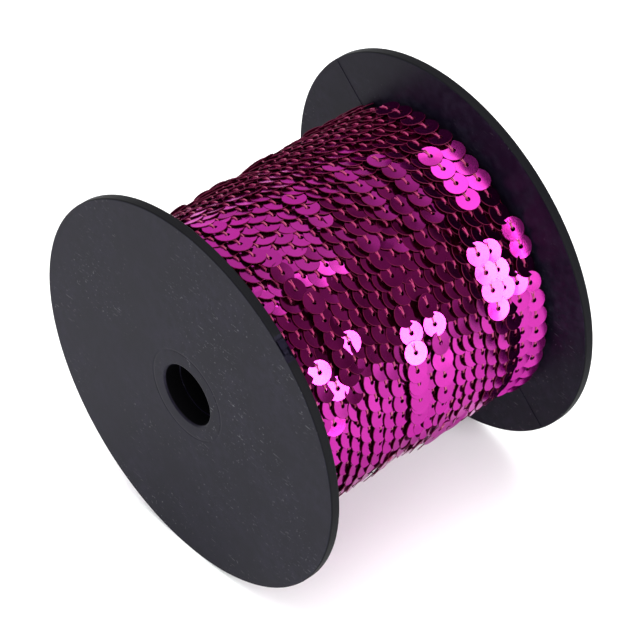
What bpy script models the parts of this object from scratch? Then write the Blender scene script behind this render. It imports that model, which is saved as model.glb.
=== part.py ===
"""Sequin string wound on a moulded plastic spool.

Metres, +Z up. The spool lies on the rims of its two flanges with its axis along X, centred on the origin.
"""

import math
import random

import bmesh
import bpy

# Driving dimensions of the spool.
FLANGE_RADIUS = 0.051
FLANGE_THICKNESS = 0.0025
SPOOL_WIDTH = 0.082
CORE_RADIUS = 0.0125
BORE_RADIUS = 0.008
LEDGE_DEPTH = 0.0045
LEDGE_STEP = 0.0005
RIM_ROUNDING = 0.0004
BORE_ROUNDING = 0.0006
CORE_FILLET = 0.0015
REST_FLAT_WIDTH = 0.010

# Driving dimensions of the winding.
TURNS = 22
WINDING_RADIUS = 0.0386
TURN_HEIGHT = 0.0013
TURN_UNEVENNESS = 0.0003
CLEARANCE = 0.0003

# The soft lumps of the winding: how high, how many round it and along it, and how they twist along it.
LUMP_HEIGHT = 0.0004
LUMPS_ROUND = 2
LUMPS_ALONG = 1.5
LUMP_TWIST = 5
LUMP_SHIFT = 1
LAYING_SEED = 22

# Facets of the turned shapes.
SPOOL_STEPS = 96
WINDING_STEPS = 60
ROUNDING_STEPS = 2
MERGE_DISTANCE = 0.00001
SHARP_ANGLE = 35

HALF_WIDTH = SPOOL_WIDTH / 2
INNER_FACE = HALF_WIDTH - FLANGE_THICKNESS
REST_FLAT_DEPTH = FLANGE_RADIUS - math.sqrt(FLANGE_RADIUS**2 - (REST_FLAT_WIDTH / 2) ** 2)
AXIS_HEIGHT = FLANGE_RADIUS - REST_FLAT_DEPTH


def clear_scene():
    """Removes what is in the scene, so that only this model is in it."""
    for item in list(bpy.data.objects):
        bpy.data.objects.remove(item, do_unlink=True)


def new_collection(name):
    collection = bpy.data.collections.new(name)
    bpy.context.scene.collection.children.link(collection)
    return collection


def plastic_material():
    """Black moulded plastic, matt and a little dusty."""
    material = bpy.data.materials.new("spool_black_plastic")
    material.use_nodes = True
    shader = material.node_tree.nodes["Principled BSDF"]
    shader.inputs["Base Color"].default_value = (0.045, 0.045, 0.052, 1)
    shader.inputs["Roughness"].default_value = 0.55
    return material


def sequin_material():
    """Magenta metallised film, seen as the wound mass of the sequins."""
    material = bpy.data.materials.new("magenta_sequins")
    material.use_nodes = True
    shader = material.node_tree.nodes["Principled BSDF"]
    shader.inputs["Base Color"].default_value = (0.6, 0.045, 0.42, 1)
    shader.inputs["Metallic"].default_value = 0.8
    shader.inputs["Roughness"].default_value = 0.3
    return material


def arc(centre, radius, start, end):
    """Points (radius, height) of a rounding between two angles in degrees, both ends included."""
    points = []
    for step in range(ROUNDING_STEPS + 1):
        angle = math.radians(start + (end - start) * step / ROUNDING_STEPS)
        points.append((centre[0] + radius * math.cos(angle), centre[1] + radius * math.sin(angle)))
    return points


def flange_rim(outer_face, inner_face):
    """The rim of one flange, from its upper edge down to its lower one."""
    across = FLANGE_RADIUS - RIM_ROUNDING
    top = max(outer_face, inner_face) - RIM_ROUNDING
    bottom = min(outer_face, inner_face) + RIM_ROUNDING
    return arc((across, top), RIM_ROUNDING, 90, 0) + arc((across, bottom), RIM_ROUNDING, 0, -90)


def spool_profile():
    """Half section of the spool as (radius, height): out along the top, down outside, and up the bore."""
    lead_in = BORE_RADIUS + BORE_ROUNDING
    fillet_centre = CORE_RADIUS + CORE_FILLET
    inner_bore = BORE_RADIUS - LEDGE_STEP
    ledge = HALF_WIDTH - LEDGE_DEPTH
    points = arc((lead_in, HALF_WIDTH - BORE_ROUNDING), BORE_ROUNDING, 180, 90)
    points += flange_rim(HALF_WIDTH, INNER_FACE)
    points += arc((fillet_centre, INNER_FACE - CORE_FILLET), CORE_FILLET, 90, 180)
    points += arc((fillet_centre, CORE_FILLET - INNER_FACE), CORE_FILLET, 180, 270)
    points += flange_rim(-HALF_WIDTH, -INNER_FACE)
    points += arc((lead_in, BORE_ROUNDING - HALF_WIDTH), BORE_ROUNDING, 270, 180)
    points += [(BORE_RADIUS, -ledge), (inner_bore, -ledge), (inner_bore, ledge), (BORE_RADIUS, ledge)]
    return points


def apply_modifiers(thing):
    """Gives the object the mesh that its modifiers make."""
    evaluated = thing.evaluated_get(bpy.context.evaluated_depsgraph_get())
    mesh = bpy.data.meshes.new_from_object(evaluated)
    thing.modifiers.clear()
    thing.data = mesh


def make_spool(parts, cutters):
    """The spool: its section turned about the axis, with a small flat under each rim where it rests."""
    mesh = bpy.data.meshes.new("spool")
    points = spool_profile()
    edges = [(index, (index + 1) % len(points)) for index in range(len(points))]
    mesh.from_pydata([(radius, 0, height) for radius, height in points], edges, [])
    spool = bpy.data.objects.new("spool", mesh)
    parts.objects.link(spool)
    mesh.materials.append(plastic_material())
    turn = spool.modifiers.new("turned", "SCREW")
    turn.axis = "Z"
    turn.steps = SPOOL_STEPS
    turn.render_steps = SPOOL_STEPS
    turn.use_merge_vertices = True
    turn.merge_threshold = MERGE_DISTANCE
    spool.rotation_euler = (0, math.pi / 2, 0)
    spool.location = (0, 0, AXIS_HEIGHT)

    bpy.ops.mesh.primitive_cube_add(size=1, location=(0, 0, -REST_FLAT_WIDTH / 2))
    cutter = bpy.context.object
    cutter.name = "rest_flat_cutter"
    cutter.scale = (SPOOL_WIDTH + 2 * REST_FLAT_WIDTH, FLANGE_RADIUS, REST_FLAT_WIDTH)
    cutter.hide_render = True
    cutter.display_type = "WIRE"
    for collection in list(cutter.users_collection):
        collection.objects.unlink(cutter)
    cutters.objects.link(cutter)
    cut = spool.modifiers.new("rest_flat", "BOOLEAN")
    cut.operation = "DIFFERENCE"
    cut.solver = "EXACT"
    cut.object = cutter
    apply_modifiers(spool)
    return spool


def winding_profile():
    """Half section of the winding: a ridge for each turn of the string, and the hole for the core."""
    end = INNER_FACE - CLEARANCE
    spacing = end / TURNS
    inner = CORE_RADIUS + CLEARANCE
    fillet = CORE_FILLET + CLEARANCE
    points = []
    for index in range(2 * TURNS + 1):
        ridge = index % 2 == 1
        radius = WINDING_RADIUS if ridge else WINDING_RADIUS - TURN_HEIGHT
        points.append((radius, end - index * spacing))
    points += [(inner + fillet, -end), (inner, -end + fillet), (inner, end - fillet), (inner + fillet, end)]
    return points


def make_winding(parts):
    """The wound string: a ridged barrel with the soft lumps of a string laid by machine at speed."""
    shape = bmesh.new()
    ring = [shape.verts.new((radius, 0, height)) for radius, height in winding_profile()]
    edges = [shape.edges.new((ring[index], ring[(index + 1) % len(ring)])) for index in range(len(ring))]
    bmesh.ops.spin(
        shape,
        geom=ring + edges,
        axis=(0, 0, 1),
        cent=(0, 0, 0),
        angle=2 * math.pi,
        steps=WINDING_STEPS,
        use_merge=True,
    )
    bmesh.ops.remove_doubles(shape, verts=shape.verts, dist=MERGE_DISTANCE)
    bmesh.ops.recalc_face_normals(shape, faces=shape.faces)

    laid = random.Random(LAYING_SEED)
    turn_heights = [laid.uniform(-1, 1) * TURN_UNEVENNESS for _ in range(TURNS + 1)]
    turn_starts = [laid.uniform(0, 2 * math.pi) for _ in range(TURNS + 1)]
    lowest_wound = WINDING_RADIUS - 2 * TURN_HEIGHT
    for vert in shape.verts:
        radius = math.hypot(vert.co.x, vert.co.y)
        if radius < lowest_wound:
            continue
        angle = math.atan2(vert.co.y, vert.co.x)
        along = (vert.co.z + INNER_FACE) / (2 * INNER_FACE)
        turn = min(TURNS, int(along * TURNS))
        lump = math.sin(LUMPS_ROUND * angle + LUMP_TWIST * along)
        lump *= math.sin(2 * math.pi * LUMPS_ALONG * along + LUMP_SHIFT)
        wave = turn_heights[turn] * math.sin(angle + turn_starts[turn])
        grown = 1 + (LUMP_HEIGHT * lump + wave) / radius
        vert.co.x *= grown
        vert.co.y *= grown

    mesh = bpy.data.meshes.new("sequin_winding")
    shape.to_mesh(mesh)
    shape.free()
    winding = bpy.data.objects.new("sequin_winding", mesh)
    parts.objects.link(winding)
    mesh.materials.append(sequin_material())
    winding.rotation_euler = (0, math.pi / 2, 0)
    winding.location = (0, 0, AXIS_HEIGHT)
    return winding


def smooth_round_sides(thing):
    thing.data.shade_smooth()
    thing.data.set_sharp_from_angle(angle=math.radians(SHARP_ANGLE))


clear_scene()
trim_parts = new_collection("sequin_trim")
trim_cutters = new_collection("sequin_trim_cutters")
trim_spool = make_spool(trim_parts, trim_cutters)
trim_winding = make_winding(trim_parts)
smooth_round_sides(trim_spool)
smooth_round_sides(trim_winding)
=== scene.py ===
"""Magenta sequin string wound on a black moulded spool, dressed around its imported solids."""

import math

import bpy
import numpy as np
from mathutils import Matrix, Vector
from mathutils.bvhtree import BVHTree


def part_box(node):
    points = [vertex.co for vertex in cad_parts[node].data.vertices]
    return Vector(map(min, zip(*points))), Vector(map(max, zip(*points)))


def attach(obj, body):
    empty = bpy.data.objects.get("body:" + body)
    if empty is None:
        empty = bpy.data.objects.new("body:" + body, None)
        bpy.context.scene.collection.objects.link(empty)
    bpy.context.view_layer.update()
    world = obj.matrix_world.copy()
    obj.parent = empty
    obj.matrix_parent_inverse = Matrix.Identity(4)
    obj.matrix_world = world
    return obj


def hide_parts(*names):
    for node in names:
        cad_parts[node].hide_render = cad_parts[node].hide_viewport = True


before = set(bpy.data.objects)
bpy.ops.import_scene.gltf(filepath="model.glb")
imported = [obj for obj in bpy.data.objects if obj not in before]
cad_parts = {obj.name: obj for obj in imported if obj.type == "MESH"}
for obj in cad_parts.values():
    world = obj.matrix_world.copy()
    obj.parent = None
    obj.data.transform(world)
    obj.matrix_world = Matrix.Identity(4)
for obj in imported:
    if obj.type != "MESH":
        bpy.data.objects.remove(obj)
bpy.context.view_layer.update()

# The spool is one moulding of black plastic: two thin round flanges on a tube with a bore for a spindle.
# Its half section is drawn by pulling one point along it, its corners are rounded, and it is turned about
# the axis.
MM = 0.001
spool_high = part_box("spool")[1]
winding_low, winding_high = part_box("sequin_winding")
FLANGE_RADIUS = spool_high.y
AXIS_HEIGHT = spool_high.z - FLANGE_RADIUS
HALF_WIDTH = spool_high.x
WINDING_CLEARANCE = 0.3 * MM
INNER_FACE = winding_high.x + WINDING_CLEARANCE
CORE_RADIUS = 12.5 * MM
BORE_RADIUS = 8 * MM
LEDGE_RADIUS = 7.5 * MM
LEDGE_DEPTH = 4.5 * MM
RING_INSIDE = 11.7 * MM
RING_OUTSIDE = 12.5 * MM
RING_DEPTH = 0.04 * MM
RIM_ROUNDING = 0.4 * MM
BORE_ROUNDING = 0.6 * MM
CORE_FILLET = 1.5 * MM
RING_SLOPE = 0.12 * MM
SPOOL_STEPS = 192
WELD = 0.002 * MM
AXIS_POINT = (0, 0, AXIS_HEIGHT)
SOFT_CORNER = math.radians(35)


def select_nothing():
    """Leaves object mode with nothing selected, so that the next operator acts on the new piece alone."""
    if bpy.context.object and bpy.context.object.mode != "OBJECT":
        bpy.ops.object.mode_set(mode="OBJECT")
    bpy.ops.object.select_all(action="DESELECT")


def select_points(piece, wanted):
    """Goes to edit mode with just those points of the piece selected whose place passes the test."""
    bpy.ops.object.mode_set(mode="EDIT")
    bpy.ops.mesh.select_mode(type="VERT")
    bpy.ops.mesh.select_all(action="DESELECT")
    bpy.ops.object.mode_set(mode="OBJECT")
    for point in piece.data.vertices:
        point.select = bool(wanted(point.co))
    bpy.ops.object.mode_set(mode="EDIT")


def near(x, height):
    """A test for points at that place along the axis and that radius, on either side of the middle."""
    return lambda place: abs(abs(place.x) - x) < WELD and abs(place.z - AXIS_HEIGHT - height) < WELD


def draw_outline(name, corners):
    """A new piece with the closed outline through (x, radius) corners, in the plane above the axis."""
    select_nothing()
    bpy.ops.mesh.primitive_plane_add(size=MM, location=(0, 0, 0))
    piece = bpy.context.object
    piece.name = name
    bpy.ops.object.mode_set(mode="EDIT")
    bpy.ops.mesh.select_all(action="SELECT")
    bpy.ops.mesh.merge(type="CENTER")
    bpy.ops.transform.translate(value=(corners[0][0], 0, AXIS_HEIGHT + corners[0][1]))
    for before, after in zip(corners, corners[1:] + corners[:1]):
        step = (after[0] - before[0], 0, after[1] - before[1])
        bpy.ops.mesh.extrude_region_move(TRANSFORM_OT_translate={"value": step})
    bpy.ops.mesh.select_all(action="SELECT")
    bpy.ops.mesh.remove_doubles(threshold=WELD)
    return piece


half_section = [
    (HALF_WIDTH - LEDGE_DEPTH, LEDGE_RADIUS),
    (HALF_WIDTH - LEDGE_DEPTH, BORE_RADIUS),
    (HALF_WIDTH, BORE_RADIUS),
    (HALF_WIDTH, RING_INSIDE),
    (HALF_WIDTH - RING_DEPTH, RING_INSIDE + RING_SLOPE),
    (HALF_WIDTH - RING_DEPTH, RING_OUTSIDE - RING_SLOPE),
    (HALF_WIDTH, RING_OUTSIDE),
    (HALF_WIDTH, FLANGE_RADIUS),
    (INNER_FACE, FLANGE_RADIUS),
    (INNER_FACE, CORE_RADIUS),
]
other_half = [(-x, radius) for x, radius in reversed(half_section)]
spool = draw_outline("spool_body", half_section + other_half)
roundings = [
    (HALF_WIDTH, FLANGE_RADIUS, RIM_ROUNDING, 3),
    (INNER_FACE, FLANGE_RADIUS, RIM_ROUNDING, 3),
    (HALF_WIDTH, BORE_RADIUS, BORE_ROUNDING, 4),
    (INNER_FACE, CORE_RADIUS, CORE_FILLET, 4),
]
for x, radius, rounding, segments in roundings:
    select_points(spool, near(x, radius))
    bpy.ops.mesh.bevel(affect="VERTICES", offset=rounding, segments=segments)
bpy.ops.mesh.select_all(action="SELECT")
bpy.ops.mesh.spin(steps=SPOOL_STEPS, angle=2 * math.pi, center=AXIS_POINT, axis=(1, 0, 0))
bpy.ops.mesh.select_all(action="SELECT")
bpy.ops.mesh.remove_doubles(threshold=WELD)
bpy.ops.mesh.normals_make_consistent(inside=False)
bpy.ops.mesh.bisect(plane_co=(0, 0, 0), plane_no=(0, 0, 1), use_fill=True, clear_inner=True, threshold=WELD)

# The nick at the gate, where the plastic was fed in at the first flange's rim and broken off.
GATE_ANGLE = math.radians(130.6)
NICK_SPAN = math.radians(2.7)
NICK_SHARE = 0.98
NICK_REACH = 0.1 * MM


def radius_at(place):
    """How far that place lies from the spool's axis."""
    return math.hypot(place.y, place.z - AXIS_HEIGHT)


def at_gate(place):
    """Whether that point of the rim is drawn in for the nick."""
    on_rim = place.x < -INNER_FACE - WELD and radius_at(place) > FLANGE_RADIUS - NICK_REACH
    return on_rim and abs(math.atan2(place.z - AXIS_HEIGHT, place.y) - GATE_ANGLE) < NICK_SPAN


select_points(spool, at_gate)
bpy.ops.transform.resize(value=(1, NICK_SHARE, NICK_SHARE), center_override=AXIS_POINT)
bpy.ops.object.mode_set(mode="OBJECT")
bpy.ops.object.shade_smooth_by_angle(angle=SOFT_CORNER)
even_shading = spool.modifiers.new("even_shading", "WEIGHTED_NORMAL")
even_shading.keep_sharp = True
bpy.ops.object.modifier_apply(modifier="even_shading")


def node_adder(tree):
    """A function that adds a node to the tree, with each input set to a value or linked from a socket."""

    def add(kind, inputs=None, **settings):
        node = tree.nodes.new(kind)
        for key, value in settings.items():
            setattr(node, key, value)
        for socket, value in (inputs or {}).items():
            if isinstance(value, bpy.types.NodeSocket):
                tree.links.new(value, node.inputs[socket])
            else:
                node.inputs[socket].default_value = value
        return node

    return add


def new_material(name):
    """A material with its node tree, its shader and a function that adds and links nodes."""
    material = bpy.data.materials.new(name)
    material.use_nodes = True
    tree = material.node_tree
    return material, tree, tree.nodes["Principled BSDF"], node_adder(tree)


# Black plastic that has been handled: a dry matt skin, paler where it is rubbed, with specks and scratches.
PLASTIC_DARK = (0.003, 0.0024, 0.0066, 1)
PLASTIC_RUBBED = (0.015, 0.0135, 0.024, 1)
PLASTIC_RIM_SHADE = (0.0048, 0.005, 0.006, 1)
PLASTIC_BORE_SHADE = (0.0012, 0.0012, 0.0016, 1)
PLASTIC_SCUFF = (0.15, 0.155, 0.17, 1)
SCUFF_STRENGTH = 0.5
plastic, tree, shader, add = new_material("black_moulded_plastic")
place = add("ShaderNodeTexCoord").outputs["Object"]
cloudy = add("ShaderNodeTexNoise", {"Vector": place, "Scale": 75, "Detail": 4, "Roughness": 0.6})
rubbed = add("ShaderNodeMapRange", {"Value": cloudy.outputs["Fac"], "From Min": 0.35, "From Max": 0.7})
blotches = add("ShaderNodeTexNoise", {"Vector": place, "Scale": 420, "Detail": 3, "Roughness": 0.7})
patchy = add("ShaderNodeMapRange", {"Value": blotches.outputs["Fac"], "From Min": 0.35, "From Max": 0.75})
mottled = add("ShaderNodeMath", {0: rubbed.outputs[0], 1: patchy.outputs[0]}, operation="MULTIPLY")
skin = add("ShaderNodeMix", data_type="RGBA", inputs={"Factor": mottled.outputs[0], "A": PLASTIC_DARK})
skin.inputs["B"].default_value = PLASTIC_RUBBED
handled = add("ShaderNodeTexNoise", {"Vector": place, "Scale": 45, "Detail": 2})
handled_mask = add("ShaderNodeMapRange", {"Value": handled.outputs[0], "From Min": 0.45, "From Max": 0.65})
specks = add("ShaderNodeTexNoise", {"Vector": place, "Scale": 1300, "Detail": 2, "Roughness": 0.5})
speck_mask = add("ShaderNodeMapRange", {"Value": specks.outputs["Fac"], "From Min": 0.67, "From Max": 0.75})
turned = add("ShaderNodeMapping", {"Vector": place, "Rotation": (0.7, 0.2, 0.3), "Scale": (1, 12, 90)})
streaks = add("ShaderNodeTexNoise", {"Vector": turned.outputs["Vector"], "Scale": 30, "Detail": 1})
streak_mask = add("ShaderNodeMapRange", {"Value": streaks.outputs["Fac"], "From Min": 0.7, "From Max": 0.78})
marks = add("ShaderNodeMath", {0: speck_mask.outputs[0], 1: streak_mask.outputs[0]}, operation="MAXIMUM")
worn = add("ShaderNodeMath", {0: marks.outputs[0], 1: handled_mask.outputs[0]}, operation="MULTIPLY")
worn_soft = add("ShaderNodeMath", {0: worn.outputs[0], 1: SCUFF_STRENGTH}, operation="MULTIPLY")
finish = add("ShaderNodeMix", data_type="RGBA", inputs={"Factor": worn_soft.outputs[0]})
tree.links.new(skin.outputs["Result"], finish.inputs["A"])
finish.inputs["B"].default_value = PLASTIC_SCUFF
tree.links.new(finish.outputs["Result"], shader.inputs["Base Color"])
dryness = add("ShaderNodeMapRange", {"Value": mottled.outputs[0], "To Min": 0.38, "To Max": 0.5})
tree.links.new(dryness.outputs["Result"], shader.inputs["Roughness"])
grain = add("ShaderNodeTexNoise", {"Vector": place, "Scale": 2600, "Detail": 2})
grain_bump = add("ShaderNodeBump", {"Height": grain.outputs["Fac"], "Strength": 0.25, "Distance": 0.03 * MM})
tree.links.new(grain_bump.outputs["Normal"], shader.inputs["Normal"])
shader.inputs["Specular IOR Level"].default_value = 0.055
shader.inputs["Specular Tint"].default_value = (0.9, 0.86, 1, 1)
spool.data.materials.append(plastic)
# The rims and the inside of the bore get a darker, plainer plastic: painted shade on the rims and down the
# bore.
for name, colour in (("black_plastic_rims_painted_shade", PLASTIC_RIM_SHADE), ("black_plastic_bore_painted_shade", PLASTIC_BORE_SHADE)):
    shade_plastic, tree, shader, add = new_material(name)
    shader.inputs["Base Color"].default_value = colour
    shader.inputs["Roughness"].default_value = 0.5
    shader.inputs["Specular IOR Level"].default_value = 0.03
    spool.data.materials.append(shade_plastic)
# Faces at the rim and the steep faces inside the bore take these painted-shade plastics.
BORE_STEEPNESS = 0.5
for face in spool.data.polygons:
    radius = radius_at(face.center)
    if radius > FLANGE_RADIUS - RIM_ROUNDING / 2:
        face.material_index = 1
    elif radius < BORE_RADIUS + BORE_ROUNDING / 2 and abs(face.normal.x) < BORE_STEEPNESS:
        face.material_index = 2
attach(spool, "root")
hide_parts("spool")

# The parting flash and the gate stub: thin ridges where the mould's halves met, across the inner face of
# each flange from rim to core, and the burr and splinter left in the nick where the gate broke off.
FLASH_ANGLE = math.radians(42.5)
FLASH_WIDTH = 0.3 * MM
FLASH_HEIGHT = 0.1 * MM
FLASH_START = 15 * MM
STUB_SIZE = (1.9 * MM, 2.2 * MM, 1.3 * MM)
STUB_INSET = 1.1 * MM
STUB_DEPTH = 0.85 * MM
SPLINTER_SIZE = (1.2 * MM, 1.5 * MM, 1.0 * MM)
SPLINTER_INSET = 1.2 * MM
SPLINTER_DEPTH = 1.05 * MM
select_nothing()
bpy.ops.mesh.primitive_cube_add(size=1, location=(0, 0, 0))
flash = bpy.context.object
flash.name = "parting_flash"
bpy.ops.object.mode_set(mode="EDIT")
bpy.ops.mesh.select_all(action="SELECT")
bpy.ops.mesh.delete(type="VERT")


def add_block(x, angle, radius, size):
    """A block standing at that angle about the axis, measured from the +Y side, at that radius."""
    place = (x, radius * math.cos(angle), AXIS_HEIGHT + radius * math.sin(angle))
    bpy.ops.mesh.primitive_cube_add(size=1, location=place, rotation=(angle - math.pi / 2, 0, 0), scale=size)


FLASH_END = FLANGE_RADIUS - RIM_ROUNDING
for side in (-1, 1):
    for angle in (FLASH_ANGLE, FLASH_ANGLE + math.pi):
        flash_size = (2 * FLASH_HEIGHT, FLASH_WIDTH, FLASH_END - FLASH_START)
        add_block(side * INNER_FACE, angle, (FLASH_START + FLASH_END) / 2, flash_size)
add_block(-INNER_FACE - STUB_INSET, GATE_ANGLE - NICK_SPAN / 5, FLANGE_RADIUS - STUB_DEPTH, STUB_SIZE)
add_block(
    -INNER_FACE - SPLINTER_INSET, GATE_ANGLE + NICK_SPAN / 2, FLANGE_RADIUS - SPLINTER_DEPTH, SPLINTER_SIZE
)
bpy.ops.object.mode_set(mode="OBJECT")
flash.data.materials.append(plastic)
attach(flash, "root")
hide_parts("spool")

# The lower windings: the string already laid beneath the top layer, seen only as dark ridges between its
# turns. It is the wound solid itself, drawn in below the top layer.
LOWER_RADIUS_SHARE = 0.945
LOWER_CORNER = math.radians(60)
DEEP_RED = (0.32, 0.006, 0.05, 1)
DEEP_SHADE = (0.08, 0.002, 0.015, 1)
lower_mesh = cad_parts["sequin_winding"].data.copy()
lower_windings = bpy.data.objects.new("lower_windings", lower_mesh)
bpy.context.scene.collection.objects.link(lower_windings)
select_nothing()
lower_windings.select_set(True)
bpy.context.view_layer.objects.active = lower_windings
bpy.ops.object.mode_set(mode="EDIT")
bpy.ops.mesh.select_all(action="SELECT")
bpy.ops.mesh.remove_doubles(threshold=WELD)
WOUND = 0.5 * (CORE_RADIUS + winding_high.y)
select_points(lower_windings, lambda place: radius_at(place) > WOUND)
bpy.ops.transform.resize(value=(1, LOWER_RADIUS_SHARE, LOWER_RADIUS_SHARE), center_override=AXIS_POINT)
bpy.ops.object.mode_set(mode="OBJECT")
bpy.ops.object.shade_smooth_by_angle(angle=LOWER_CORNER)
# The string really lies here; its dark red, darker still toward each cell's edge, is painted shade in the
# depths between the top layer's turns.
deep, tree, shader, add = new_material("deep_windings")
place = add("ShaderNodeTexCoord").outputs["Object"]
layers = add("ShaderNodeTexVoronoi", {"Vector": place, "Scale": 260})
shades = add("ShaderNodeMapRange", {"Value": layers.outputs["Distance"], "From Max": 0.7})
deep_colour = add("ShaderNodeMix", data_type="RGBA", inputs={"Factor": shades.outputs[0]})
deep_colour.inputs["A"].default_value = DEEP_RED
deep_colour.inputs["B"].default_value = DEEP_SHADE
tree.links.new(deep_colour.outputs["Result"], shader.inputs["Base Color"])
shader.inputs["Roughness"].default_value = 0.5
layer_bump = add("ShaderNodeBump", {"Height": layers.outputs["Distance"], "Distance": 0.4 * MM})
tree.links.new(layer_bump.outputs["Normal"], shader.inputs["Normal"])
lower_windings.data.materials.clear()
lower_windings.data.materials.append(deep)
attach(lower_windings, "root")
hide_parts("sequin_winding")

# One sequin: a 6 mm disc punched from metallised film, with a small centre hole, slightly dished.
# A ring of edges at the hole is pulled out to the rim, the film gets its thickness, and its cut edge slopes.
SEQUIN_RADIUS = 3.0 * MM
HOLE_RADIUS = 0.65 * MM
FILM_THICKNESS = 0.14 * MM
DISH = 0.03 * MM
SEQUIN_SIDES = 16
select_nothing()
bpy.ops.mesh.primitive_circle_add(vertices=SEQUIN_SIDES, radius=HOLE_RADIUS, location=(0, 0, 0))
sequin = bpy.context.object
sequin.name = "one_sequin"
bpy.ops.object.mode_set(mode="EDIT")
bpy.ops.mesh.select_all(action="SELECT")
bpy.ops.mesh.extrude_region_move(TRANSFORM_OT_translate={"value": (0, 0, DISH)})
spread = SEQUIN_RADIUS / HOLE_RADIUS
bpy.ops.transform.resize(value=(spread, spread, 1), center_override=(0, 0, 0))
bpy.ops.mesh.select_all(action="SELECT")
bpy.ops.mesh.normals_make_consistent(inside=False)
bpy.ops.object.mode_set(mode="OBJECT")
film = sequin.modifiers.new("film", "SOLIDIFY")
film.thickness = FILM_THICKNESS
film.offset = 0
bpy.ops.object.modifier_apply(modifier="film")


def turn_outward(piece):
    """Makes every face of a closed piece point out."""
    bpy.ops.object.mode_set(mode="EDIT")
    bpy.ops.mesh.select_all(action="SELECT")
    bpy.ops.mesh.normals_make_consistent(inside=False)
    bpy.ops.object.mode_set(mode="OBJECT")


turn_outward(sequin)
EDGE_SLOPE = 0.07 * MM
select_points(sequin, lambda place: place.z > DISH and place.to_2d().length > SEQUIN_RADIUS / 2)
drawn_in = 1 - EDGE_SLOPE / SEQUIN_RADIUS
bpy.ops.transform.resize(value=(drawn_in, drawn_in, 1), center_override=(0, 0, 0))
bpy.ops.object.mode_set(mode="OBJECT")


FLATNESS = 0.8
FRONT, EDGE, BACK = 0, 1, 2


def take_shape(piece):
    """Takes the finished model's points, faces and the side each face is on, and clears the model away."""
    points = np.array([point.co[:] for point in piece.data.vertices])
    faces = [list(face.vertices) for face in piece.data.polygons]
    sides = []
    for face in piece.data.polygons:
        sides.append(FRONT if face.normal.z > FLATNESS else BACK if face.normal.z < -FLATNESS else EDGE)
    bpy.data.objects.remove(piece)
    return points, faces, sides


sequin_shape = take_shape(sequin)


FILM_CORNER = math.radians(40)


def lay_copies(name, shape, places, axes, flat_size, materials):
    """One joined mesh with a copy of the shape at each place, turned to its own three axes.

    Its map spreads each copy's own plan over the unit square, and its tone is a random share for each copy.
    """
    points, faces, sides = shape
    count, size = len(places), len(points)
    laid = np.einsum("pk,nkj->npj", points, axes) + places[:, None, :]
    face_list = []
    for copy in range(count):
        start = copy * size
        face_list.extend([[start + corner for corner in face] for face in faces])
    mesh = bpy.data.meshes.new(name)
    mesh.from_pydata(laid.reshape(-1, 3).tolist(), [], face_list)
    mesh.shade_smooth()
    mesh.set_sharp_from_angle(angle=FILM_CORNER)
    for material in materials:
        mesh.materials.append(material)
    mesh.polygons.foreach_set("material_index", np.tile(np.minimum(sides, len(materials) - 1), count))
    plan = mesh.uv_layers.new(name="plan")
    corners = np.array([corner for face in faces for corner in face])
    spread_plan = 0.5 + points[corners, :2] / flat_size
    plan.uv.foreach_set("vector", np.tile(spread_plan, (count, 1)).ravel().astype(np.float32))
    tone = mesh.attributes.new("tone", "FLOAT", "POINT")
    tones = np.random.default_rng(count).random(count)
    tone.data.foreach_set("value", np.repeat(tones, size).astype(np.float32))
    mesh.update()
    piece = bpy.data.objects.new(name, mesh)
    bpy.context.scene.collection.objects.link(piece)
    return piece


# The top layer is one string wound from flange to flange. Each sequin lies over the top of the next one down
# the string, and each turn leans on the turn before it, so that its edge nearer the first flange stands
# proud. Its tilt and lean, in degrees, drift and scatter a little, as do its place and its height.
TURNS = 22.4
FIRST_TURN = -36.2 * MM
TURN_PITCH = 3.25 * MM
LAST_PLACE = 35.5 * MM
LAYER_DEPTH = 0.95 * MM
STRING_PITCH = 4.65 * MM
START_ANGLE = math.pi
SEAT = -0.25 * MM
TILE_TILT = 7
LEAN = 12
LEAN_AT_FIRST_FLANGE = 5
EARLY_PLACE = -4 * MM
EARLY_FADE = 4 * MM
EARLY_END = 34
TILT_WAVES = 1.8
LEAN_WAVES = 2.2
TILT_SCATTER = 1.6
SIDE_WAVES = 0.35 * MM
LIFT_WAVES = 0.18 * MM
STRAIGHTNESS = 0.35
PROUD_SCATTER = 0.6
STEP_SCATTER = 0.02
FADE = 8
lay = np.random.default_rng(14)

# Stretches that ride up over both their neighbours, as the string crossed a lump while it was wound: their
# place along the axis in mm, the degrees down the front where they begin and end, their lift in mm, tilt
# and lean.
PROUD = [
    (34.4, -24, 6, 0.8, 6, -3),
    (34.5, 12, 31, 0.4, 6, -7),
    (28.8, 7, 31, 0.8, 6, -6),
    (35.4, 47, 59, 0.4, 0.5, -9),
    (23.5, 44, 70, 0.9, 2, -9),
    (27.0, 50, 66, 0.6, 3, -9),
    (31.4, 63, 69, 0.5, 6, -9),
    (-1.6, 54, 68, 0.9, 4, -9),
    (5.3, 55, 68, 0.9, 4, -9),
    (-17.4, 47, 56, 0.5, 0, -9),
    (-27.6, 53, 59, 0.5, 2, -9),
    (-24.4, 64, 71, 0.4, 6, -9),
    (-27.6, 70, 77, 0.4, 9, -9),
    (-22.6, 13, 27, 1.2, -5, 10),
    (-20.9, 11, 27, 0, 6, -5),
    (-25.0, -14, 12, 0.8, 9, 4),
    (-5.0, -4, 9, 0.8, 9, 4),
    (-20.5, 32, 66, 0.9, 6, 9),
    (-2.9, 70, 96, 0.9, 10, 1),
    (5.2, 72, 90, 0.8, 10, -3),
    (30.6, 70, 125, 0.1, 9, -6),
    (34.6, 65, 125, 0.5, 9, -13),
    (14.0, 20, 44, 0.7, 7, 10),
    (9.5, -6, 22, 0.7, 7, 10),
    (19.0, 2, 30, 0.6, 6, 9),
    (0.5, 22, 46, 0.7, 6, 10),
]
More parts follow.
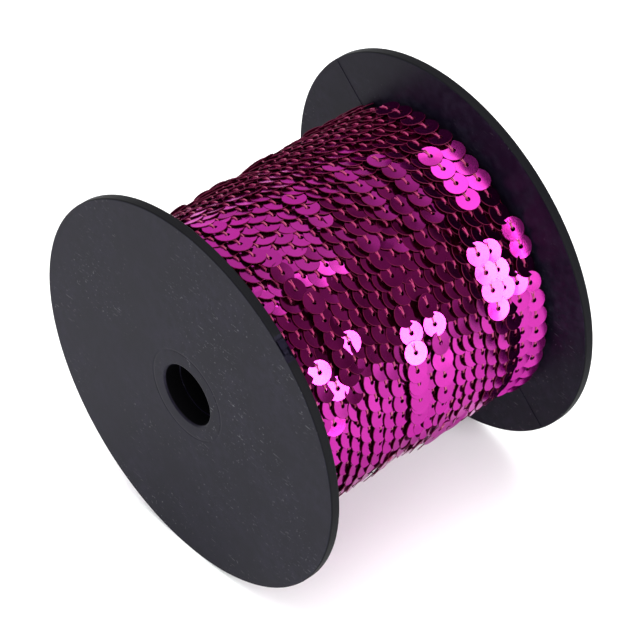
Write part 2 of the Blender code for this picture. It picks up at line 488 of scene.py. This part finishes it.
# The rest of the way round, behind and below, such stretches fall anywhere.
STREWN_COUNT = 44
STREWN_ROUND = (112, 325)
STREWN_WIDTH = (14, 34)
STREWN_TILT = (5, 10)
STREWN_LEAN = (-8, 11)
STREWN_PLACE = (-35, 35)
STREWN_LIFT = (0.4, 0.9)
strewn = np.random.default_rng(5)
for _ in range(STREWN_COUNT):
    begin = strewn.uniform(*STREWN_ROUND)
    begin = begin - 360 if begin > 180 else begin
    end = begin + strewn.uniform(*STREWN_WIDTH)
    own_tilt = strewn.uniform(*STREWN_TILT)
    own_lean = strewn.uniform(*STREWN_LEAN)
    beside = strewn.uniform(*STREWN_PLACE)
    PROUD.append((beside, begin, end, strewn.uniform(*STREWN_LIFT), own_tilt, own_lean))


def slow_waves(turn, angle, height):
    """A soft unevenness over the winding, much the same for sequins that lie side by side."""
    waves = 6
    total = 0
    for _ in range(waves):
        around = lay.integers(1, 6)
        along = lay.uniform(-1.3, 1.3)
        total = total + np.sin(around * angle + along * turn + lay.uniform(0, 2 * math.pi))
    return height * total / math.sqrt(waves)


solid_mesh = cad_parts["sequin_winding"].data
solid_tree = BVHTree.FromPolygons(
    [point.co for point in solid_mesh.vertices], [list(face.vertices) for face in solid_mesh.polygons]
)


def solid_radius(x, outward):
    """How far out the wound solid reaches there, as the mean over one turn's width."""
    found = []
    for share in (-0.4, -0.2, 0, 0.2, 0.4):
        side = max(winding_low.x + MM, min(winding_high.x - MM, x + share * TURN_PITCH))
        start = Vector((side, 0, AXIS_HEIGHT)) + FLANGE_RADIUS * outward
        hit = solid_tree.ray_cast(start, -outward)
        found.append(FLANGE_RADIUS - hit[3])
    return sum(found) / len(found)


def wind_string(start_share, sink):
    """Places and axes of the sequins along one winding, that much below the top, and the angle of each."""
    mean_radius = winding_high.y - MM - sink
    count = int(TURNS * 2 * math.pi * mean_radius / STRING_PITCH)
    steps = 1 + STEP_SCATTER * lay.standard_normal(count)
    angle = START_ANGLE + (np.cumsum(steps) + start_share) * STRING_PITCH / mean_radius
    turn = (angle - START_ANGLE) / (2 * math.pi)
    x = np.clip(FIRST_TURN + turn * TURN_PITCH, -LAST_PLACE, LAST_PLACE)
    x = x + slow_waves(turn, angle, SIDE_WAVES)
    x = np.clip(x, -LAST_PLACE, LAST_PLACE)
    outward = np.stack([0 * angle, -np.sin(angle), np.cos(angle)], axis=1)
    down = np.stack([0 * angle, -np.cos(angle), -np.sin(angle)], axis=1)
    radius = np.array([solid_radius(x[i], Vector(outward[i])) for i in range(count)]) + SEAT - sink
    radius = radius + np.abs(slow_waves(turn, angle, LIFT_WAVES))
    down_front = (np.degrees(angle) + 180) % 360 - 180
    tilt = TILE_TILT + slow_waves(turn, angle, TILT_WAVES) + TILT_SCATTER * lay.standard_normal(count)
    early = np.clip((EARLY_PLACE - x) / EARLY_FADE, 0, 1) * np.clip((EARLY_END - down_front) / FADE, 0, 1)
    lean = LEAN + (LEAN_AT_FIRST_FLANGE - LEAN) * early
    lean = lean + slow_waves(turn, angle, LEAN_WAVES) + TILT_SCATTER * lay.standard_normal(count)
    for beside, begin, end, lift, own_tilt, own_lean in PROUD if sink == 0 else []:
        beyond = np.maximum(begin - down_front, down_front - end)
        share = np.clip(1 - beyond / FADE, 0, 1) * (np.abs(x - beside * MM) < TURN_PITCH / 2)
        inside = (share > 0) & (beyond <= 0)
        bent = own_tilt + STRAIGHTNESS * (down_front - (begin + end) / 2)
        scatter = PROUD_SCATTER * lay.standard_normal((2, count))
        tilt = np.where(inside, bent + scatter[0], tilt)
        lean = np.where(inside, own_lean + scatter[1], lean)
        radius = radius + share * lift * MM
        x = x + share * (beside * MM - x)
    places = outward * radius[:, None] + np.array(AXIS_POINT)
    places[:, 0] += x
    sideways = np.array([1.0, 0, 0])
    downward, aside = np.tan(np.radians(tilt))[:, None], np.tan(np.radians(lean))[:, None]
    normal = outward - downward * down + aside * sideways
    normal /= np.linalg.norm(normal, axis=1)[:, None]
    up = -down - np.sum(-down * normal, axis=1)[:, None] * normal
    up /= np.linalg.norm(up, axis=1)[:, None]
    across = np.cross(up, normal)
    return places, np.stack([across, up, normal], axis=1), angle


top_places, top_axes, top_angle = wind_string(0, 0)
under_places, under_axes, _ = wind_string(0.5, LAYER_DEPTH)

# Magenta lacquer over bright metal on a thin film: a mirror with its own colour, under a clear glossy coat.
FILM_DEEP = (0.28, 0.010, 0.18, 1)
FILM_BRIGHT = (0.37, 0.018, 0.245, 1)
LACQUER_TINT = (0.8, 0.4, 0.7, 1)
BOWL_STRENGTH = 0.25
RIPPLE_STRENGTH = 0.02
film_finish, tree, shader, add = new_material("magenta_sequin_film")
plan = add("ShaderNodeUVMap", uv_map="plan").outputs["UV"]
centred = add("ShaderNodeVectorMath", {0: plan, 1: (0.5, 0.5, 0)}, operation="SUBTRACT")
reach = add("ShaderNodeVectorMath", {0: centred.outputs[0]}, operation="LENGTH").outputs["Value"]
tone = add("ShaderNodeAttribute", attribute_name="tone").outputs["Fac"]
colour = add("ShaderNodeMix", data_type="RGBA", inputs={"Factor": tone})
colour.inputs["A"].default_value = FILM_DEEP
colour.inputs["B"].default_value = FILM_BRIGHT
tree.links.new(colour.outputs["Result"], shader.inputs["Base Color"])
shader.inputs["Metallic"].default_value = 1
shader.inputs["Coat Weight"].default_value = 0.15
shader.inputs["Coat Roughness"].default_value = 0.06
shader.inputs["Specular Tint"].default_value = LACQUER_TINT
place = add("ShaderNodeTexCoord").outputs["Object"]
haze = add("ShaderNodeTexNoise", {"Vector": place, "Scale": 500, "Detail": 3})
gloss = add("ShaderNodeMapRange", {"Value": haze.outputs["Fac"], "To Min": 0.1, "To Max": 0.2})
tree.links.new(gloss.outputs["Result"], shader.inputs["Roughness"])
bowl = add("ShaderNodeMath", {0: reach, 1: 2}, operation="POWER")
bowl_depth = add("ShaderNodeMath", {0: bowl.outputs[0], 1: BOWL_STRENGTH}, operation="MULTIPLY")
ripple = add("ShaderNodeTexNoise", {"Vector": place, "Scale": 350, "Detail": 1})
ripple_height = add("ShaderNodeMath", {0: ripple.outputs["Fac"], 1: RIPPLE_STRENGTH}, operation="MULTIPLY")
height = add("ShaderNodeMath", {0: bowl_depth.outputs[0], 1: ripple_height.outputs[0]}, operation="ADD")
film_bump = add("ShaderNodeBump", {"Height": height.outputs[0], "Distance": 0.35 * MM})
tree.links.new(film_bump.outputs["Normal"], shader.inputs["Normal"])

# The cut edges and backs of the film are bare plastic, lit by what comes in between the sequins; their dark
# red is also painted shade for the dark lines and gaps between the sequins.
EDGE_SHADE_RED = (0.08, 0.0025, 0.022, 1)
BACK_SHADE_RED = (0.075, 0.0012, 0.018, 1)
film_sides = [film_finish]
for name, red in (("sequin_film_edge_painted_shade", EDGE_SHADE_RED), ("sequin_film_back_painted_shade", BACK_SHADE_RED)):
    shade_film, tree, shader, add = new_material(name)
    shader.inputs["Base Color"].default_value = red
    shader.inputs["Roughness"].default_value = 0.5
    shader.inputs["Specular IOR Level"].default_value = 0.08
    film_sides.append(shade_film)

for name, places, axes in (
    ("top_sequins", top_places, top_axes),
    ("under_sequins", under_places, under_axes),
):
    layer = lay_copies(name, sequin_shape, places, axes, 2 * SEQUIN_RADIUS, film_sides)
    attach(layer, "root")
    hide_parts("sequin_winding")

# The stitches: magenta thread comes up through each sequin's hole and runs in two strands over its top edge,
# under the sequin before it. One leg is drawn out from the hole, and the other is its mirror image.
THREAD_RADIUS = 0.12 * MM
STITCH_SPAN = 4 * MM
THREAD_DARK = (0.13, 0.006, 0.035, 1)
THREAD_PALE = (0.42, 0.045, 0.15, 1)

# The leg's stations in mm: across, up the disc and off it, and how thick the thread is there.
LEG_STATIONS = [
    (0.08, 0.1, -0.35, 0.9),
    (0.09, 0.4, 0.1, 1.0),
    (0.11, 0.95, 0.2, 1.0),
    (0.2, 1.7, 0.22, 1.0),
    (0.36, 2.4, 0.12, 0.9),
]
select_nothing()
bpy.ops.mesh.primitive_circle_add(vertices=5, radius=THREAD_RADIUS, fill_type="NGON", location=(0, 0, 0))
stitch = bpy.context.object
stitch.name = "one_stitch"
bpy.ops.object.mode_set(mode="EDIT")
bpy.ops.mesh.select_all(action="SELECT")
bpy.ops.transform.rotate(value=math.pi / 2, orient_axis="X", center_override=(0, 0, 0))
first = LEG_STATIONS[0]
bpy.ops.transform.translate(value=(first[0] * MM, first[1] * MM, first[2] * MM))
for before, after in zip(LEG_STATIONS, LEG_STATIONS[1:]):
    step = [(after[axis] - before[axis]) * MM for axis in range(3)]
    bpy.ops.mesh.extrude_region_move(TRANSFORM_OT_translate={"value": step})
    thicker = after[3] / before[3]
    centre = [after[axis] * MM for axis in range(3)]
    bpy.ops.transform.resize(value=(thicker, thicker, thicker), center_override=centre)
bpy.ops.object.mode_set(mode="OBJECT")
second_leg = stitch.modifiers.new("second_leg", "MIRROR")
second_leg.use_axis = (True, False, False)
second_leg.use_mirror_merge = False
bpy.ops.object.modifier_apply(modifier="second_leg")
turn_outward(stitch)

thread, tree, shader, add = new_material("magenta_thread")
place = add("ShaderNodeTexCoord").outputs["Object"]
strands = add("ShaderNodeTexNoise", {"Vector": place, "Scale": 2500, "Detail": 2})
thread_colour = add("ShaderNodeMix", data_type="RGBA", inputs={"Factor": strands.outputs["Fac"]})
thread_colour.inputs["A"].default_value = THREAD_DARK
thread_colour.inputs["B"].default_value = THREAD_PALE
tree.links.new(thread_colour.outputs["Result"], shader.inputs["Base Color"])
shader.inputs["Roughness"].default_value = 0.35
strand_bump = add("ShaderNodeBump", {"Height": strands.outputs["Fac"], "Distance": 0.1 * MM})
tree.links.new(strand_bump.outputs["Normal"], shader.inputs["Normal"])
stitches = lay_copies("stitches", take_shape(stitch), top_places, top_axes, STITCH_SPAN, [thread])
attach(stitches, "root")
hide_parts("sequin_winding")

# The foundation thread: the chain-stitched cord that carries the sequins, running beneath their centres all
# along the string. It is swept as one thin tube through points below the sequins.
CORD_RADIUS = 0.24 * MM
CORD_DEPTH = 0.55 * MM
CORD_SIDES = 6
CORD_SMOOTHINGS = 2
cord_line = top_places - CORD_DEPTH * top_axes[:, 2]
for _ in range(CORD_SMOOTHINGS):
    cord_line[1:-1] = (cord_line[:-2] + 2 * cord_line[1:-1] + cord_line[2:]) / 4
cord_out = np.stack([0 * top_angle, -np.sin(top_angle), np.cos(top_angle)], axis=1)
cord_beside = np.array([1.0, 0, 0])
cord_points = []
for side in range(CORD_SIDES):
    round_cord = 2 * math.pi * side / CORD_SIDES
    off_line = math.cos(round_cord) * cord_out + math.sin(round_cord) * cord_beside
    cord_points.append(cord_line + CORD_RADIUS * off_line)
cord_points = np.stack(cord_points, axis=1).reshape(-1, 3)
cord_faces = []
for ring in range(len(cord_line) - 1):
    for side in range(CORD_SIDES):
        beside = (side + 1) % CORD_SIDES
        here, there = ring * CORD_SIDES, (ring + 1) * CORD_SIDES
        cord_faces.append([here + side, here + beside, there + beside, there + side])
last_ring = (len(cord_line) - 1) * CORD_SIDES
cord_faces.append([CORD_SIDES - 1 - side for side in range(CORD_SIDES)])
cord_faces.append([last_ring + side for side in range(CORD_SIDES)])
cord_mesh = bpy.data.meshes.new("foundation_thread")
cord_mesh.from_pydata(cord_points.tolist(), [], cord_faces)
cord = bpy.data.objects.new("foundation_thread", cord_mesh)
bpy.context.scene.collection.objects.link(cord)
select_nothing()
cord.select_set(True)
bpy.context.view_layer.objects.active = cord
turn_outward(cord)
cord_mesh.shade_smooth()
cord_mesh.materials.append(thread)
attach(cord, "root")
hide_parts("sequin_winding")

# The studio: a white sweep with a pale wall behind and to the left, a soft light overhead, a bright tall
# window and a fill at the front, all else dim, so that each mirror disc shows white, magenta or near black.
FLOOR_SIZE = 16
PAPER_WHITE = (0.87, 0.9, 0.9, 1)
select_nothing()
bpy.ops.mesh.primitive_plane_add(size=FLOOR_SIZE, location=(0, 0, 0))
floor = bpy.context.object
floor.name = "floor"
paper, tree, shader, add = new_material("white_paper")
shader.inputs["Base Color"].default_value = PAPER_WHITE
shader.inputs["Roughness"].default_value = 0.9
shader.inputs["Specular IOR Level"].default_value = 0.1
floor.data.materials.append(paper)

DARK_SIDE = (0.08, 0.06, 0.055, 1)
DIM_SIDE = (0.4, 0.27, 0.3, 1)
PALE_WALL = (1.3, 1.3, 1.3, 1)
world = bpy.data.worlds.new("studio")
bpy.context.scene.world = world
world.use_nodes = True
tree = world.node_tree
background = tree.nodes["Background"]
world_node = node_adder(tree)
direction = world_node("ShaderNodeTexCoord").outputs["Generated"]
bearings = world_node("ShaderNodeSeparateXYZ", {0: direction})
toward_x, toward_y, toward_z = bearings.outputs
not_right = world_node("ShaderNodeMapRange", {"Value": toward_x, "From Min": 0.75, "From Max": 0.66})
behind = world_node("ShaderNodeMapRange", {"Value": toward_y, "From Min": -0.2, "From Max": -0.05})
wall = world_node("ShaderNodeMath", {0: not_right.outputs[0], 1: behind.outputs[0]}, operation="MULTIPLY")
horizon = world_node("ShaderNodeMapRange", {"Value": toward_z, "From Min": 0.08, "From Max": 0.02})
pale = world_node("ShaderNodeMath", {0: wall.outputs[0], 1: horizon.outputs[0]}, operation="MAXIMUM")

# The dim side is a room's soft clutter, a little lighter here and darker there.
clutter = world_node("ShaderNodeTexNoise", {"Vector": direction, "Scale": 7, "Detail": 1})
dimness = world_node("ShaderNodeMapRange", {"Value": clutter.outputs[0], "From Min": 0.35, "From Max": 0.65})
dim = world_node("ShaderNodeMix", data_type="RGBA", inputs={"Factor": dimness.outputs[0]})
dim.inputs["A"].default_value = DARK_SIDE
dim.inputs["B"].default_value = DIM_SIDE
seen = world_node("ShaderNodeMix", data_type="RGBA", inputs={"Factor": pale.outputs[0]})
tree.links.new(dim.outputs["Result"], seen.inputs["A"])
seen.inputs["B"].default_value = PALE_WALL
tree.links.new(seen.outputs["Result"], background.inputs["Color"])


def add_softbox(name, bearing, height, distance, width, tall, radiance):
    """An area light at that bearing and height in degrees, facing the spool, of that radiance."""
    light = bpy.data.lights.new(name, "AREA")
    light.shape = "RECTANGLE"
    light.size = width
    light.size_y = tall
    light.energy = radiance * math.pi * width * tall
    lamp = bpy.data.objects.new(name, light)
    bpy.context.scene.collection.objects.link(lamp)
    bearing, height = math.radians(bearing), math.radians(height)
    level = math.cos(height)
    away = Vector((level * math.cos(bearing), level * math.sin(bearing), math.sin(height)))
    lamp.location = Vector(AXIS_POINT) + distance * away
    lamp.rotation_euler = away.to_track_quat("Z", "Y").to_euler()
    lamp.visible_camera = False


add_softbox("overhead", 48, 88, 1.6, 1.8, 1.8, 3.2)
add_softbox("front_window", -78, 20, 1.3, 0.23, 0.8, 24)
add_softbox("front_fill", -122, 30, 1.8, 1.6, 1.4, 3.8)

# The camera looks down on the spool from the near flange's side, through a long lens.
VIEW_BEARING = math.radians(-41.33)
VIEW_PITCH = math.radians(43.09)
VIEW_DISTANCE = 22.25 * FLANGE_RADIUS
VIEW_ACROSS = 0.004 * FLANGE_RADIUS
VIEW_DOWN = 0.018 * FLANGE_RADIUS
LENS = 269.55
camera_data = bpy.data.cameras.new("view")
camera_data.lens = LENS
camera_data.sensor_width = 36
camera_data.clip_end = 100
camera = bpy.data.objects.new("view", camera_data)
bpy.context.scene.collection.objects.link(camera)
camera.rotation_euler = (math.pi / 2 - VIEW_PITCH, 0, VIEW_BEARING)
turn = camera.rotation_euler.to_matrix()
offset = turn @ Vector((VIEW_ACROSS, -VIEW_DOWN, VIEW_DISTANCE))
camera.location = Vector(AXIS_POINT) + offset
bpy.context.scene.camera = camera
bpy.context.scene.view_settings.view_transform = "Standard"
